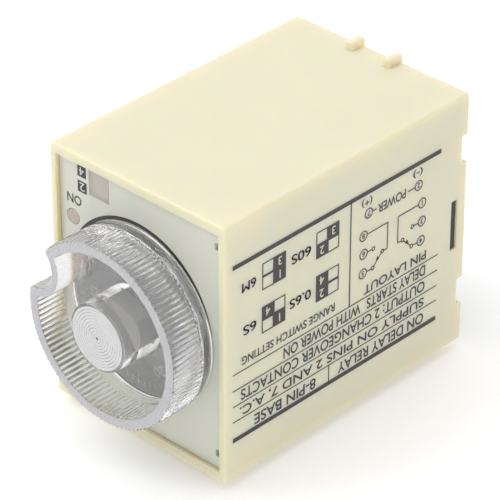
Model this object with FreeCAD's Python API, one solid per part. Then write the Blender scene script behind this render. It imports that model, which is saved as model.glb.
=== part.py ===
import FreeCAD, Part
import math
import os

# Plug-in analogue timer relay, in millimetres.
# The origin is on the plug's axis at the plane of the housing's rear rim. +Y runs out along the plug pins,
# the dial faces -Y and +Z is up. Angles on the dial are counter-clockwise from +X as seen from the front.

V = FreeCAD.Vector

# Housing
case_width = 40.0
case_height = 50.0
case_length = 60.0
side_wall = 1.4
end_wall = 1.8
front_wall = 1.5
long_edge_radius = 0.8
front_edge_radius = 0.4
rear_edge_radius = 0.5
fit_gap = 0.1
cut_past = 1.0

# Front recess and its printed panel
frame_side_bar = 1.3
frame_end_bar = 1.8
panel_recess = 0.9
panel_thickness = 0.5
panel_hole_width = 0.75
panel_hole_height = 1.4
panel_hole_from_side = 1.3
panel_hole_from_end = 3.0

# Rear rim: notches, latch slots and hold-down nibs
notch_width = 5.4
notch_depth = 1.7
notch_offset = 14.4
notch_round = 0.5
slot_height = 10.0
slot_width = 1.6
slot_inset = 3.15
nib_width = 1.7
nib_length = 3.3
nib_height = 1.45
nib_spacing = 8.64
nib_offset = -0.5
nib_round = 0.6

# Window over the range switches, and the lamp lens
window_width = 4.75
window_height = 5.1
window_from_side = 6.95
window_from_top = 0.45
window_ledge = 0.6
lens_radius = 1.4
lens_flange = 0.6
lens_flange_thickness = 0.5
lens_from_side = 3.05
lens_height = 11.8

# Dial: axis, scale plate and knob
dial_drop = 0.5
scale_radius = 14.7
scale_thickness = 0.4
dial_gap = 0.32
knob_radius = 17.0
knob_reach = 8.5
knob_wall = 2.1
knob_draft = 0.3
knob_floor = 1.0
rib_count = 110
rib_depth = 0.4
skirt_height = 2.2
skirt_gap = 0.27
skirt_lip = 1.1
skirt_inset = 0.1
boss_radius = 6.28
boss_rise = 0.8
boss_cap = 5.5
scallop_radius = 4.77
scallop_reach = 17.7
scallop_wall = 1.5
pointer_angle = 155.5

# Potentiometer behind the dial
shaft_radius = 3.0
shaft_flat = 1.5
shaft_grip_gap = 0.02
running_gap = 0.03
thrust_gap = 0.05
bush_radius = 3.5
bush_flange_radius = 4.6
bush_flange_thickness = 0.6
bush_hole_gap = 0.2
collar_radius = 4.2
collar_thickness = 0.75
can_radius = 8.2
can_wall = 0.6
can_plate = 0.8
can_depth = 6.0
can_front_gap = 0.33
rotor_radius = 6.4
rotor_thickness = 1.2
rotor_spigot = 2.0
stop_reach = 0.9
stop_gap = 0.2
stop_tab_angle = 30.0
stop_lug_angle = 26.0
stop_angle = 90.0
lug_root = 3.0
wiper_width = 2.0
wiper_thickness = 0.3
wiper_tip = 1.0
wiper_gap = 0.1
track_thickness = 1.0
track_proud = 0.5
track_inner_radius = 4.0

# Circuit boards
board_thickness = 1.6
dial_board_side_gap = 1.1
dial_board_end_gap = 0.3
post_size = 4.0
screw_radius = 1.0
screw_head_radius = 1.9
screw_head_height = 1.2
screw_head_bevel = 0.4
screw_length = 5.0
screw_from_corner = 2.3
main_board_side_gap = 1.3
main_board_end_gap = 0.7
rail_thickness = 1.2
rail_height = 1.7
rail_gap = 0.1
base_stop_length = 7.0
header_depth = 2.5
header_height = 16.0
header_pins = 6
header_pin_pitch = 2.54
header_pin = 0.6
header_pin_reach = 1.0
header_pin_root = 1.25

# Range selector and lamp on the front board
switch_side_margin = 1.2
switch_end_margin = 0.4
switch_depth = 4.9
lever_slot_depth = 2.0
lever_width = 2.0
lever_height = 1.7
lever_pitch = 2.5
lever_travel = 2.0
lever_gap = 0.1
lever_reach = 1.5
lever_round = 0.3
led_radius = 1.5
led_flange_radius = 1.9
led_flange_thickness = 0.8
led_length = 5.4
led_bevel = 0.5

# Parts on the main board
chip_length = 19.3
chip_width = 6.4
chip_height = 3.5
chip_standoff = 0.5
chip_from_front = 7.5
chip_legs = 8
chip_leg_pitch = 2.54
chip_leg_width = 0.6
chip_leg_thickness = 0.4
film_cap_size = (7.0, 6.0, 13.0)
film_cap_place = (18.5, 11.0)
timing_cap_size = (6.5, 5.0, 7.0)
timing_cap_place = (18.5, -13.5)
block_cap_round = 0.6
can_cap_radius = 3.15
can_cap_length = 11.0
can_cap_place = (27.5, -12.5)
can_cap_groove = 0.4
can_cap_groove_from_end = 1.4
wire_sides = 6
axial_wire_radius = 0.35
axial_wire_reach = 2.0
axial_wire_bend = 0.8
diode_radius = 1.35
diode_length = 5.2
diode_count = 4
diode_pitch = 3.4
diode_place = (24.5, 11.0)
resistor_radius = 1.1
resistor_length = 6.2
resistor_count = 3
resistor_pitch = 3.0
resistor_place = (24.5, 0.0)
transistor_radius = 2.3
transistor_height = 4.6
transistor_flat = 1.2
transistor_leg = 0.5
transistor_leg_pitch = 1.27
transistor_standoff = 1.0
transistor_place = (35.0, -14.0)

# Relay magnet
relay_offset = 7.2
core_radius = 3.3
pole_radius = 4.8
pole_thickness = 1.0
core_gap = 0.05
bobbin_tube = 0.9
bobbin_flange_radius = 7.0
bobbin_flange = 1.0
bobbin_length = 24.3
bobbin_end_gap = 0.1
winding_radius = 6.4
yoke_thickness = 1.5
yoke_half_width = 7.0
yoke_side_gap = 0.3
relay_stand = 7.4
pillar_width = 6.0
pillar_half_height = 6.0

# Relay movement
armature_thickness = 1.5
armature_half_width = 6.5
armature_gap = 0.1
armature_heel = 0.5
armature_swing = 3.2
carrier_width = 4.2
carrier_length = 6.1
carrier_from_bobbin = 0.6
spring_thickness = 0.2
spring_width = 3.0
spring_length = 20.5
spring_offset = 4.0
spring_anchor = 0.6
rivet_radius = 1.3
rivet_head = 0.7
rivet_from_end = 1.5
contact_gap = 0.1
blade_thickness = 0.6
blade_width = 3.2
blade_past_rivet = 1.6
blade_root = 5.0
fixed_rivet_height = 0.6
leaf_thickness = 0.25
leaf_half_width = 4.0
leaf_grip = 10.0
leaf_lip = 2.6
leaf_gap = 0.25
block_margin = 0.8
block_half_height = 6.5

# Plug base
base_thickness = 3.1
base_inset = 1.5
hook_gap = 0.12
hook_recess = 0.35
hook_ramp = 0.6
key_post_radius = 3.95
key_post_length = 12.7
key_post_chamfer = 0.8
key_rib_width = 1.9
key_rib_reach = 1.2
key_rib_short = 1.5
pin_count = 8
pin_circle = 17.45
pin_radius = 1.18
pin_length = 11.5
pin_shank_radius = 0.9
pin_seat = 0.06
pin_inside = 2.9
pin_taper = 1.0
pin_tip_radius = 0.65
pin_hole_gap = 0.02
lead_radius = 0.5
lead_bend = 1.0
lead_rise = 2.0
supply_lead_height = 11.0

# Places that follow from the sizes above
half_width = case_width / 2
half_height = case_height / 2
inside_x = half_width - side_wall
inside_z = half_height - end_wall
front_y = -case_length
panel_y = front_y + panel_recess
wall_front_y = panel_y + panel_thickness
wall_back_y = wall_front_y + front_wall
recess_x = half_width - frame_side_bar
recess_z = half_height - frame_end_bar

base_back_y = -base_inset
base_front_y = base_back_y - base_thickness

dial_x = 0.0
dial_z = -dial_drop
knob_front_y = front_y - knob_reach
boss_front_y = knob_front_y - boss_rise
skirt_back_y = panel_y - skirt_gap
skirt_front_y = skirt_back_y - skirt_height
floor_back_y = panel_y - scale_thickness - dial_gap
floor_front_y = floor_back_y - knob_floor
groove_radius = knob_radius - rib_depth
skirt_radius = knob_radius - skirt_inset
shaft_tip_y = boss_front_y + boss_cap
bush_front_y = floor_back_y + dial_gap

can_front_y = wall_back_y + can_front_gap
can_back_y = can_front_y + can_depth
bush_back_y = can_front_y + can_plate + bush_flange_thickness
collar_front_y = bush_back_y + thrust_gap
rotor_front_y = collar_front_y + collar_thickness
rotor_back_y = rotor_front_y + rotor_thickness
track_front_y = can_back_y + track_proud - track_thickness
dial_board_y = can_back_y + track_proud
dial_board_back_y = dial_board_y + board_thickness

main_board_x = -inside_x + main_board_side_gap
main_board_face = main_board_x + board_thickness
main_board_front_y = dial_board_back_y + fit_gap
main_board_half = inside_z - main_board_end_gap

window_x = (-recess_x + window_from_side, -recess_x + window_from_side + window_width)
window_z = (recess_z - window_from_top - window_height, recess_z - window_from_top)
window_mid_x = sum(window_x) / 2
window_mid_z = sum(window_z) / 2
lens_x = -recess_x + lens_from_side
lens_z = lens_height

foot_back_y = base_front_y - relay_stand
foot_front_y = foot_back_y - yoke_thickness
bobbin_back_y = foot_front_y - bobbin_end_gap
bobbin_front_y = bobbin_back_y - bobbin_length
pole_y = bobbin_front_y - bobbin_end_gap - pole_thickness
arm_x = relay_offset + bobbin_flange_radius + yoke_side_gap
arm_outer_x = arm_x + yoke_thickness
plate_back_y = pole_y - armature_gap
plate_front_y = plate_back_y - armature_thickness
hinge_x = arm_outer_x - yoke_thickness / 2
hinge_y = plate_back_y
carrier_right_x = relay_offset - bobbin_flange_radius - carrier_from_bobbin
carrier_left_x = carrier_right_x - carrier_width
spring_x = (carrier_left_x + carrier_right_x) / 2
spring_front_y = plate_back_y + spring_anchor
spring_back_y = spring_front_y + spring_length
rivet_y = spring_back_y - rivet_from_end
rivet_half = spring_thickness / 2 + rivet_head


# Small makers
def box(x, y, z):
    """A box from a low and a high value on each axis."""
    return Part.makeBox(x[1] - x[0], y[1] - y[0], z[1] - z[0], V(x[0], y[0], z[0]))


def both(value):
    """A span that lies evenly about zero."""
    return (-value, value)


def about(middle, size):
    """A span of a given size about a middle."""
    return (middle - size / 2, middle + size / 2)


def rod_x(y, z, radius, x):
    return Part.makeCylinder(radius, x[1] - x[0], V(x[0], y, z), V(1, 0, 0))


def rod_y(x, z, radius, y):
    return Part.makeCylinder(radius, y[1] - y[0], V(x, y[0], z), V(0, 1, 0))


def rod_z(x, y, radius, z):
    return Part.makeCylinder(radius, z[1] - z[0], V(x, y, z[0]), V(0, 0, 1))


def ring_y(x, z, outer, inner, y):
    return rod_y(x, z, outer, y).cut(rod_y(x, z, inner, y))


def around_dial(radius, degrees):
    """The point at a radius and angle on the dial, as x and z."""
    turn = math.radians(degrees)
    return dial_x + radius * math.cos(turn), dial_z + radius * math.sin(turn)


def sector(inner, outer, y, middle, width):
    """A piece of a ring about the dial's axis, between two angles."""
    def at(radius, degrees):
        x, z = around_dial(radius, degrees)
        return V(x, y[0], z)

    start = middle - width / 2
    end = middle + width / 2
    edges = [
        Part.Arc(at(outer, start), at(outer, middle), at(outer, end)).toShape(),
        Part.makeLine(at(outer, end), at(inner, end)),
        Part.Arc(at(inner, end), at(inner, middle), at(inner, start)).toShape(),
        Part.makeLine(at(inner, start), at(outer, start)),
    ]
    return Part.Face(Part.Wire(edges)).extrude(V(0, y[1] - y[0], 0))


def prism(points, along):
    """A solid from a closed outline of points, pushed along a vector."""
    outline = [V(*point) for point in points]
    return Part.Face(Part.makePolygon(outline + outline[:1])).extrude(V(*along))


def edges_along(shape, axis):
    """The straight edges that run along one axis, named X, Y or Z."""
    others = [name for name in "XYZ" if name != axis]
    return [edge for edge in shape.Edges
            if all(getattr(edge.BoundBox, name + "Length") < 1e-6 for name in others)]


def edges_at_y(shape, y):
    return [edge for edge in shape.Edges
            if abs(edge.BoundBox.YMin - y) < 1e-6 and abs(edge.BoundBox.YMax - y) < 1e-6]


def wire_along(points, radius, bend):
    """A thin wire through the points. It has few sides, and its bends are cut corners, as there are many."""
    route = [points[0]]
    for before, corner, after in zip(points, points[1:], points[2:]):
        route.append(corner + (before - corner).normalize() * bend)
        route.append(corner + (after - corner).normalize() * bend)
    route.append(points[-1])
    facing = FreeCAD.Rotation(V(0, 0, 1), points[1] - points[0])
    turns = [2 * math.pi * side / wire_sides for side in range(wire_sides + 1)]
    outline = [facing.multVec(V(radius * math.cos(turn), radius * math.sin(turn), 0)) for turn in turns]
    section = Part.makePolygon([points[0] + point for point in outline])
    return Part.makePolygon(route).makePipeShell([section], True, True, 1)


def swing(shape, degrees):
    """A copy turned about the armature's hinge line."""
    turned = shape.copy()
    turned.rotate(V(hinge_x, hinge_y, 0), V(0, 0, 1), degrees)
    return turned


# Housing
def rim_notch(z_middle):
    """The space of one notch in a side wall's rear edge, with rounded shoulders."""
    half = notch_width / 2
    lift = cut_past
    bend = notch_round * (1 - math.sqrt(0.5))
    low, high = z_middle - half, z_middle + half
    depth = -notch_depth

    def at(y, z):
        return V(-half_width - lift, y, z)

    edges = [
        Part.makeLine(at(depth, low), at(depth, high)),
        Part.makeLine(at(depth, high), at(-notch_round, high)),
        Part.Arc(at(-notch_round, high), at(-bend, high + bend), at(0, high + notch_round)).toShape(),
        Part.makeLine(at(0, high + notch_round), at(lift, high + notch_round)),
        Part.makeLine(at(lift, high + notch_round), at(lift, low - notch_round)),
        Part.makeLine(at(lift, low - notch_round), at(0, low - notch_round)),
        Part.Arc(at(0, low - notch_round), at(-bend, low - bend), at(-notch_round, low)).toShape(),
        Part.makeLine(at(-notch_round, low), at(depth, low)),
    ]
    return Part.Face(Part.Wire(edges)).extrude(V(case_width + 2 * lift, 0, 0))


def hold_down_nib(x_middle, side):
    """One nib on the top (side 1) or underside (side -1), flush with the rear rim."""
    root = half_height - end_wall / 2
    tip = half_height + nib_height
    nib = box(about(x_middle, nib_width), (-nib_length, 0), (root, tip))
    nib = nib.makeFillet(nib_round, [edge for edge in edges_along(nib, "Y") if edge.BoundBox.ZMin > root])
    return nib if side > 0 else nib.mirror(V(0, 0, 0), V(0, 0, 1))


def window_opening(inset, y):
    return box((window_x[0] + inset, window_x[1] - inset), y, (window_z[0] + inset, window_z[1] - inset))


def corner_posts():
    """Square posts on the front wall's back, for the front board and its screws."""
    posts = []
    for x_side in (-1, 1):
        for z_side in (-1, 1):
            x = sorted((x_side * inside_x, x_side * (inside_x - post_size)))
            z = sorted((z_side * inside_z, z_side * (inside_z - post_size)))
            posts.append(box(x, (wall_back_y, dial_board_y), z))
    return posts


def board_rails():
    """Pairs of ribs on the top and underside that hold the main board's edges and stop the plug base."""
    rails = []
    gaps = (main_board_x - rail_gap, main_board_face + rail_gap)
    spans = ((gaps[0] - rail_thickness, gaps[0]), (gaps[1], gaps[1] + rail_thickness))
    base_stop_x = (-spans[1][1], -spans[1][0])
    for z_side in (-1, 1):
        z = sorted((z_side * inside_z, z_side * (inside_z - rail_height)))
        for x in spans:
            rails.append(box(x, (dial_board_back_y + fit_gap, base_front_y), z))
        rails.append(box(base_stop_x, (base_front_y - base_stop_length, base_front_y), z))
    return rails


def screw_places():
    x = inside_x - screw_from_corner
    z = inside_z - screw_from_corner
    return ((x, z), (x, -z))


def housing():
    shell = box(both(half_width), (front_y, 0), both(half_height))
    shell = shell.makeFillet(long_edge_radius, edges_along(shell, "Y"))
    shell = shell.makeFillet(front_edge_radius, edges_at_y(shell, front_y))
    shell = shell.makeFillet(rear_edge_radius, edges_at_y(shell, 0))
    for x in both(nib_spacing / 2):
        for side in (-1, 1):
            shell = shell.fuse(hold_down_nib(x + nib_offset, side))
    shell = shell.cut(box(both(inside_x), (wall_back_y, cut_past), both(inside_z)))
    shell = shell.cut(box(both(recess_x), (front_y - cut_past, wall_front_y), both(recess_z)))
    through = (wall_front_y - cut_past, wall_back_y + cut_past)
    shell = shell.cut(rod_y(dial_x, dial_z, bush_radius + bush_hole_gap, through))
    shell = shell.cut(rod_y(lens_x, lens_z, lens_radius + fit_gap, through))
    shell = shell.cut(window_opening(window_ledge, through))
    for z in both(notch_offset):
        shell = shell.cut(rim_notch(z))
    slot_y = about(-slot_inset, slot_width)
    shell = shell.cut(box(both(half_width + cut_past), slot_y, both(slot_height / 2)))
    shell = shell.multiFuse(corner_posts() + board_rails())
    for x, z in screw_places():
        shell = shell.cut(rod_y(x, z, screw_radius, (dial_board_y - screw_length, dial_board_y)))
    return shell.removeSplitter()


# Front panel, window, lens and scale plate
def front_panel():
    y = (panel_y, wall_front_y)
    sheet = box(both(recess_x - fit_gap), y, both(recess_z - fit_gap))
    sheet = sheet.cut(rod_y(dial_x, dial_z, bush_radius + bush_hole_gap, y))
    sheet = sheet.cut(rod_y(lens_x, lens_z, lens_radius + fit_gap, y))
    hole_x = about(recess_x - panel_hole_from_side, panel_hole_width)
    for z in both(recess_z - panel_hole_from_end):
        sheet = sheet.cut(box(hole_x, y, about(z, panel_hole_height)))
    return sheet.cut(window_opening(0, y))


def range_window():
    return window_opening(fit_gap / 2, (panel_y, wall_front_y))


def on_lens():
    stem = rod_y(lens_x, lens_z, lens_radius, (panel_y, wall_back_y))
    flange_y = (wall_back_y, wall_back_y + lens_flange_thickness)
    return stem.fuse(rod_y(lens_x, lens_z, lens_radius + lens_flange, flange_y)).removeSplitter()


def scale_plate():
    y = (panel_y - scale_thickness, panel_y)
    return ring_y(dial_x, dial_z, scale_radius, bush_radius + bush_hole_gap, y)


# Dial knob
def ribbed_drum():
    """The knob's outer drum: straight ribs all round, made as one outline."""
    points = []
    for step in range(2 * rib_count):
        radius = knob_radius if step % 2 == 0 else groove_radius
        x, z = around_dial(radius, step * 180 / rib_count)
        points.append((x, knob_front_y, z))
    return prism(points, (0, skirt_front_y - knob_front_y, 0))


def shaft_form(radius, flat, y):
    """A round bar with one flat side along it."""
    bar = rod_y(dial_x, dial_z, radius, y)
    return bar.cut(box((dial_x - radius, dial_x + radius), y, (dial_z + flat, dial_z + radius)))


def dial_knob():
    drum = ribbed_drum().fuse(rod_y(dial_x, dial_z, skirt_radius, (skirt_front_y, skirt_back_y)))
    inner = knob_radius - knob_wall
    cup = Part.makeCone(inner, inner - knob_draft, floor_front_y - knob_front_y,
                        V(dial_x, knob_front_y, dial_z), V(0, 1, 0))
    x, z = around_dial(scallop_reach, pointer_angle)
    depth = (knob_front_y - cut_past, floor_front_y)
    cup = cup.cut(rod_y(x, z, scallop_radius + scallop_wall, depth))
    knob = drum.cut(cup).cut(rod_y(x, z, scallop_radius, depth))
    knob = knob.cut(rod_y(dial_x, dial_z, groove_radius - skirt_lip, (floor_back_y, skirt_back_y)))
    knob = knob.fuse(rod_y(dial_x, dial_z, boss_radius, (boss_front_y, floor_back_y)))
    bore_y = (shaft_tip_y - fit_gap, floor_back_y)
    bore = shaft_form(shaft_radius + shaft_grip_gap, shaft_flat + shaft_grip_gap, bore_y)
    return knob.cut(bore).removeSplitter()


# Potentiometer
def pot_shaft():
    shaft = shaft_form(shaft_radius, shaft_flat, (shaft_tip_y, floor_back_y))
    shaft = shaft.fuse(rod_y(dial_x, dial_z, shaft_radius, (floor_back_y, collar_front_y)))
    shaft = shaft.fuse(rod_y(dial_x, dial_z, collar_radius, (collar_front_y, rotor_front_y)))
    shaft = shaft.fuse(rod_y(dial_x, dial_z, rotor_spigot, (rotor_front_y, rotor_back_y)))
    return shaft.removeSplitter()


def pot_bush():
    flange_y = (bush_back_y - bush_flange_thickness, bush_back_y)
    bush = rod_y(dial_x, dial_z, bush_radius, (bush_front_y, flange_y[0]))
    bush = bush.fuse(rod_y(dial_x, dial_z, bush_flange_radius, flange_y))
    bore = rod_y(dial_x, dial_z, shaft_radius + running_gap, (bush_front_y, bush_back_y))
    return bush.cut(bore).removeSplitter()


def pot_can():
    inner = can_radius - can_wall
    can = rod_y(dial_x, dial_z, can_radius, (can_front_y, can_back_y))
    can = can.cut(rod_y(dial_x, dial_z, inner, (can_front_y + can_plate, can_back_y)))
    can = can.cut(rod_y(dial_x, dial_z, bush_radius, (can_front_y, can_front_y + can_plate)))
    tab = sector(rotor_radius + stop_gap, inner + can_wall / 2, (rotor_front_y, rotor_back_y), stop_angle,
                 stop_tab_angle)
    return can.fuse(tab).removeSplitter()


def pot_rotor():
    y = (rotor_front_y, rotor_back_y)
    disc = ring_y(dial_x, dial_z, rotor_radius, rotor_spigot, y)
    lug = sector(lug_root, rotor_radius + stop_reach, y, pointer_angle, stop_lug_angle)
    return disc.fuse(lug).removeSplitter()


def pot_wiper():
    """A sprung arm on the rotor's back whose tip runs on the resistance track."""
    reach = can_radius - can_wall - stop_gap - wiper_tip
    root = rotor_spigot + wiper_width / 2
    arm = box((-root, reach), (rotor_back_y, rotor_back_y + wiper_thickness), both(wiper_width / 2))
    tip = box((reach - wiper_tip, reach), (rotor_back_y, track_front_y - wiper_gap), both(wiper_width / 2))
    wiper = arm.fuse(tip).removeSplitter()
    wiper.rotate(V(0, 0, 0), V(0, 1, 0), -pointer_angle)
    wiper.translate(V(dial_x, 0, dial_z))
    return wiper


def pot_track():
    outer = can_radius - can_wall - running_gap
    return ring_y(dial_x, dial_z, outer, track_inner_radius, (track_front_y, dial_board_y))


# Front board with its screws, range selector and lamp
def dial_board():
    x = both(inside_x - dial_board_side_gap)
    board = box(x, (dial_board_y, dial_board_back_y), both(inside_z - dial_board_end_gap))
    for x, z in screw_places():
        board = board.cut(rod_y(x, z, screw_radius + fit_gap, (dial_board_y, dial_board_back_y)))
    for x, y, z in header_pin_boxes(fit_gap / 2):
        board = board.cut(box(x, y, z))
    return board


def board_screws():
    screws = []
    for x, z in screw_places():
        stem = rod_y(x, z, screw_radius, (dial_board_y - screw_length + fit_gap, dial_board_back_y))
        head = rod_y(x, z, screw_head_radius, (dial_board_back_y, dial_board_back_y + screw_head_height))
        rim = edges_at_y(head, dial_board_back_y + screw_head_height)
        head = head.makeChamfer(screw_head_bevel, rim)
        screws.append(stem.fuse(head).removeSplitter())
    return Part.makeCompound(screws)


def lever_z(place):
    """Mid-height of the upper (1) or lower (-1) lever."""
    return window_mid_z + place * lever_pitch / 2


def lever_spans(place, gap):
    """The room of a lever over its whole travel, with a gap round it."""
    x = about(window_mid_x, lever_width + lever_travel + 2 * gap)
    z = about(lever_z(place), lever_height + 2 * gap)
    return x, z


def range_switch_body():
    front = dial_board_y - switch_depth
    x = (window_x[0] - switch_side_margin, window_x[1] + switch_side_margin)
    z = (window_z[0] - switch_end_margin, window_z[1] + switch_end_margin)
    body = box(x, (front, dial_board_y), z)
    for place in (-1, 1):
        slot_x, slot_z = lever_spans(place, lever_gap)
        body = body.cut(box(slot_x, (front, front + lever_slot_depth), slot_z))
    return body


def range_lever(place):
    """A slide lever at the right-hand end of its travel."""
    front = dial_board_y - switch_depth
    right = window_mid_x + (lever_width + lever_travel) / 2
    z = about(lever_z(place), lever_height)
    lever = box((right - lever_width, right), (front - lever_reach, front + lever_slot_depth - lever_gap), z)
    rim = edges_at_y(lever, front - lever_reach)
    return lever.makeFillet(lever_round, rim)


def on_led():
    led = rod_y(lens_x, lens_z, led_radius, (dial_board_y - led_length, dial_board_y))
    led = led.makeChamfer(led_bevel, edges_at_y(led, dial_board_y - led_length))
    flange_y = (dial_board_y - led_flange_thickness, dial_board_y)
    led = led.fuse(rod_y(lens_x, lens_z, led_flange_radius, flange_y))
    return led.removeSplitter()


# Main board and the header that joins the boards
def main_board():
    y = (main_board_front_y, base_front_y - fit_gap)
    return box((main_board_x, main_board_face), y, both(main_board_half))


def header_pin_boxes(gap):
    """Square pins that stand forward from the header through the front board."""
    x = about(main_board_face + header_depth / 2, header_pin + 2 * gap)
    y = (dial_board_y - header_pin_reach, dial_board_back_y + header_pin_root)
    first = -(header_pins - 1) * header_pin_pitch / 2
    middles = [first + index * header_pin_pitch for index in range(header_pins)]
    return [(x, y, about(middle, header_pin + 2 * gap)) for middle in middles]


def board_header():
    x = (main_board_face, main_board_face + header_depth)
    body = box(x, (dial_board_back_y, dial_board_back_y + header_depth), both(header_height / 2))
    pins = [box(*spans) for spans in header_pin_boxes(0)]
    return body.multiFuse(pins).removeSplitter()


# Parts on the main board. A place is (distance back from the board's front edge, height)
def on_board(place):
    return main_board_front_y + place[0], place[1]


def timer_ic():
    front = main_board_front_y + chip_from_front
    y = (front, front + chip_width)
    low = main_board_face + chip_standoff
    x = (low, low + chip_height)
    chip = box(x, y, both(chip_length / 2))
    knee = low + chip_height / 2
    first = -(chip_legs - 1) * chip_leg_pitch / 2
    for index in range(chip_legs):
        z = about(first + index * chip_leg_pitch, chip_leg_width)
        for edge, side in ((y[0], -1), (y[1], 1)):
            leg_y = sorted((edge, edge + side * chip_leg_thickness * 2))
            foot_y = sorted((edge + side * chip_leg_thickness, edge + side * chip_leg_thickness * 2))
            chip = chip.fuse(box((knee, knee + chip_leg_thickness), leg_y, z))
            chip = chip.fuse(box((main_board_face, knee + chip_leg_thickness), foot_y, z))
    return chip.removeSplitter()


def block_capacitor(size, place):
    y, z = on_board(place)
    block = box((main_board_face, main_board_face + size[0]), about(y, size[1]), about(z, size[2]))
    return block.makeFillet(block_cap_round, edges_along(block, "X"))


def smoothing_capacitor():
    """A can-shaped capacitor lying on the board, with the crimp groove near its lead end."""
    y, z = on_board(can_cap_place)
    x = main_board_face + can_cap_radius
    span = about(z, can_cap_length)
    can = rod_z(x, y, can_cap_radius, span)
    can = can.makeChamfer(can_cap_groove, [edge for edge in can.Edges if edge.BoundBox.ZLength < 1e-6])
    groove_z = about(span[0] + can_cap_groove_from_end, 2 * can_cap_groove)
    groove = rod_z(x, y, can_cap_radius, groove_z)
    return can.cut(groove.cut(rod_z(x, y, can_cap_radius - can_cap_groove, groove_z)))


def axial_part(radius, length, y, z):
    """A small round part that stands on the board by its two bent wires."""
    x = main_board_face + radius
    low, high = about(z, length + 2 * axial_wire_reach)
    route = [V(main_board_face, y, low), V(x, y, low), V(x, y, high), V(main_board_face, y, high)]
    wire = wire_along(route, axial_wire_radius, axial_wire_bend)
    return wire.fuse(rod_z(x, y, radius, about(z, length))).removeSplitter()


def axial_row(radius, length, count, pitch, place):
    y, z = on_board(place)
    return Part.makeCompound([axial_part(radius, length, y + index * pitch, z) for index in range(count)])


def driver_transistor():
    y, z = on_board(transistor_place)
    low = main_board_face + transistor_standoff
    body = rod_x(y, z, transistor_radius, (low, low + transistor_height))
    flat_y = (y + transistor_flat, y + transistor_radius)
    body = body.cut(box((low, low + transistor_height), flat_y, about(z, 2 * transistor_radius)))
    for step in (-1, 0, 1):
        leg_z = z + step * transistor_leg_pitch
        leg = box((main_board_face, low), about(y, transistor_leg), about(leg_z, transistor_leg))
        body = body.fuse(leg)
    return body.removeSplitter()


# Relay magnet
def relay_yoke():
    z = both(yoke_half_width)
    arm = box((arm_x, arm_outer_x), (pole_y, foot_back_y), z)
    foot = box((relay_offset - core_radius - yoke_thickness, arm_x), (foot_front_y, foot_back_y), z)
    hole = rod_y(relay_offset, 0, core_radius + core_gap, (foot_front_y, foot_back_y))
    return arm.fuse(foot).removeSplitter().cut(hole)


def relay_core():
    core = rod_y(relay_offset, 0, core_radius, (pole_y + pole_thickness, foot_back_y))
    return core.fuse(rod_y(relay_offset, 0, pole_radius, (pole_y, pole_y + pole_thickness))).removeSplitter()


def coil_bobbin():
    tube = core_radius + core_gap + bobbin_tube
    bobbin = rod_y(relay_offset, 0, tube, (bobbin_front_y, bobbin_back_y))
    for front in (bobbin_front_y, bobbin_back_y - bobbin_flange):
        bobbin = bobbin.fuse(rod_y(relay_offset, 0, bobbin_flange_radius, (front, front + bobbin_flange)))
    hole = rod_y(relay_offset, 0, core_radius + core_gap, (bobbin_front_y, bobbin_back_y))
    return bobbin.cut(hole).removeSplitter()


def coil_winding():
    inner = core_radius + 2 * core_gap + bobbin_tube
    y = (bobbin_front_y + bobbin_flange, bobbin_back_y - bobbin_flange)
    return ring_y(relay_offset, 0, winding_radius, inner, y)


# Relay movement: drawn pulled in against the pole, then swung out to its rest
def armature():
    x = (carrier_left_x, hinge_x + armature_heel)
    plate = box(x, (plate_front_y, plate_back_y), both(armature_half_width))
    return swing(plate, armature_swing)


def spring_spans(side):
    z = about(side * spring_offset, spring_width)
    return about(spring_x, spring_thickness), (spring_front_y, spring_back_y), z


def contact_carrier():
    y = (plate_back_y, plate_back_y + carrier_length)
    block = box((carrier_left_x, carrier_right_x), y, both(armature_half_width))
    for side in (-1, 1):
        block = block.cut(box(*spring_spans(side)))
    return swing(block, armature_swing)


def moving_springs():
    springs = []
    for side in (-1, 1):
        leaf = box(*spring_spans(side))
        leaf = leaf.cut(rod_x(rivet_y, side * spring_offset, rivet_radius, about(spring_x, spring_thickness)))
        springs.append(swing(leaf, armature_swing))
    return Part.makeCompound(springs)


def moving_contacts():
    rivets = []
    for side in (-1, 1):
        z = side * spring_offset
        rivets.append(swing(rod_x(rivet_y, z, rivet_radius, about(spring_x, 2 * rivet_half)), armature_swing))
    return Part.makeCompound(rivets)


def return_spring():
    """A leaf on the yoke's outside whose bent end presses the armature's heel."""
    lip_y = swing(Part.Vertex(hinge_x - leaf_lip, plate_front_y, 0), armature_swing).Point.y - leaf_gap
    z = both(leaf_half_width)
    leaf = box((arm_outer_x, arm_outer_x + leaf_thickness), (lip_y, pole_y + leaf_grip), z)
    lip = box((hinge_x - leaf_lip, arm_outer_x + leaf_thickness), (lip_y - leaf_thickness, lip_y), z)
    return leaf.fuse(lip).removeSplitter()


# Fixed contacts and their block
def rest_rivet():
    """Centre of the moving rivet's left face at rest, as x and y."""
    face = swing(Part.Vertex(spring_x - rivet_half, rivet_y, 0), armature_swing).Point
    return face.x - rivet_radius * math.sin(math.radians(armature_swing)), face.y


def blade_spans():
    """Low and high x of the two kinds of fixed blade, with the y of their rivets."""
    closing = spring_x + rivet_half + contact_gap + fixed_rivet_height
    resting, resting_y = rest_rivet()
    opening = resting - contact_gap - fixed_rivet_height
    return (closing, closing + blade_thickness), (opening - blade_thickness, opening), resting_y


def fixed_contacts(x, y, face):
    """Blades for both poles, each with a rivet that stands towards the moving spring."""
    blades = []
    for side in (-1, 1):
        z = side * spring_offset
        blade = box(x, (y - blade_past_rivet, foot_back_y + blade_root), about(z, blade_width))
        blades.append(blade.fuse(rod_x(y, z, rivet_radius, face)).removeSplitter())
    return Part.makeCompound(blades)


def no_contacts():
    x, _, _ = blade_spans()
    return fixed_contacts(x, rivet_y, (x[0] - fixed_rivet_height, x[0]))


def nc_contacts():
    _, x, y = blade_spans()
    return fixed_contacts(x, y, (x[1], x[1] + fixed_rivet_height))


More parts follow.
